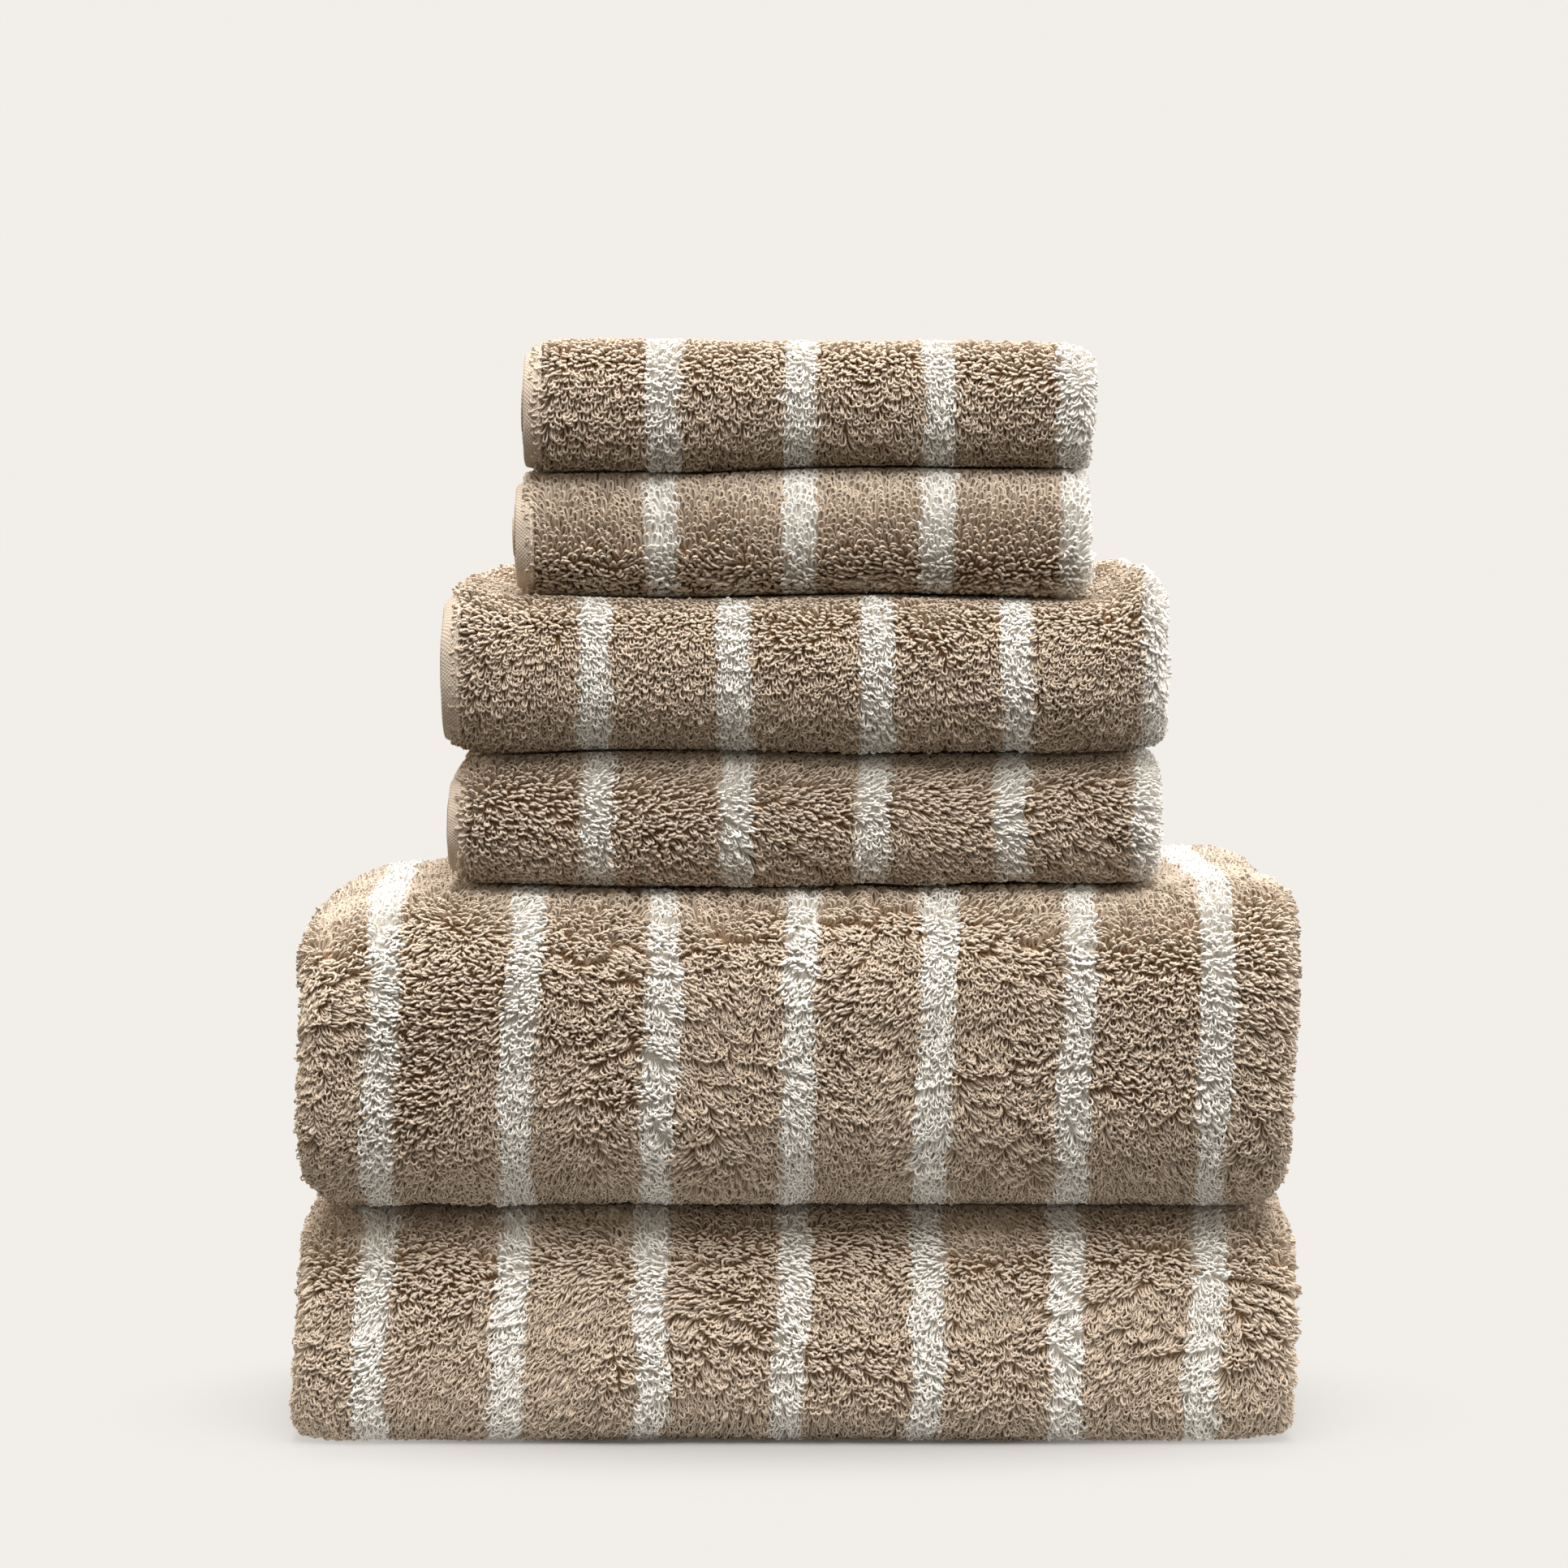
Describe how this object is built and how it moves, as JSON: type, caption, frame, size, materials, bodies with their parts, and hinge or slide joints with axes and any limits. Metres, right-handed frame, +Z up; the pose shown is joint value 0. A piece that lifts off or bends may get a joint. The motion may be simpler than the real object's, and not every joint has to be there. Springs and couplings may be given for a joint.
{
  "type": "bath towel set",
  "caption": "Folded terry towels in bath, hand and small sizes, stacked fold-forward, with pale stripes running over each front fold; every towel lifts off.",
  "frame": {"origin": "middle of the pile's footprint, on the surface it rests on", "axes": "+Z up the pile, -Y towards the front folds, +X to the right seen from the front"},
  "size_m": [0.3486, 0.2334, 0.386],
  "materials": {
    "terry": "taupe low-twist cotton loop pile with off-white stripes",
    "hem": "turned plain-woven cotton hem, sewn with matching thread"
  },
  "bodies": {
    "bath_towel_lower": {"bath_towel_lower_cloth": "terry", "bath_towel_lower_side_hem_one": "hem", "bath_towel_lower_side_hem_two": "hem", "bath_towel_lower_end_hem_outer": "hem", "bath_towel_lower_end_hem_inner": "hem"},
    "bath_towel_upper": {"bath_towel_upper_cloth": "terry", "bath_towel_upper_side_hem_one": "hem", "bath_towel_upper_side_hem_two": "hem", "bath_towel_upper_end_hem_outer": "hem", "bath_towel_upper_end_hem_inner": "hem"},
    "hand_towel_lower": {"hand_towel_lower_cloth": "terry", "hand_towel_lower_side_hem_one": "hem", "hand_towel_lower_side_hem_two": "hem", "hand_towel_lower_end_hem_outer": "hem", "hand_towel_lower_end_hem_inner": "hem"},
    "hand_towel_upper": {"hand_towel_upper_cloth": "terry", "hand_towel_upper_side_hem_one": "hem", "hand_towel_upper_side_hem_two": "hem", "hand_towel_upper_end_hem_outer": "hem", "hand_towel_upper_end_hem_inner": "hem"},
    "small_towel_lower": {"small_towel_lower_cloth": "terry", "small_towel_lower_side_hem_one": "hem", "small_towel_lower_side_hem_two": "hem", "small_towel_lower_end_hem_outer": "hem", "small_towel_lower_end_hem_inner": "hem"},
    "small_towel_upper": {"small_towel_upper_cloth": "terry", "small_towel_upper_side_hem_one": "hem", "small_towel_upper_side_hem_two": "hem", "small_towel_upper_end_hem_outer": "hem", "small_towel_upper_end_hem_inner": "hem"}
  },
  "joints": [
    {"name": "bath_towel_upper_lift", "type": "slide", "parent": "bath_towel_lower", "child": "bath_towel_upper", "axis": [0, 0, 1], "range_m": [0, 0.05]},
    {"name": "hand_towel_lower_lift", "type": "slide", "parent": "bath_towel_upper", "child": "hand_towel_lower", "axis": [0, 0, 1], "range_m": [0, 0.05]},
    {"name": "hand_towel_upper_lift", "type": "slide", "parent": "hand_towel_lower", "child": "hand_towel_upper", "axis": [0, 0, 1], "range_m": [0, 0.05]},
    {"name": "small_towel_lower_lift", "type": "slide", "parent": "hand_towel_upper", "child": "small_towel_lower", "axis": [0, 0, 1], "range_m": [0, 0.05]},
    {"name": "small_towel_upper_lift", "type": "slide", "parent": "small_towel_lower", "child": "small_towel_upper", "axis": [0, 0, 1], "range_m": [0, 0.05]}
  ]
}
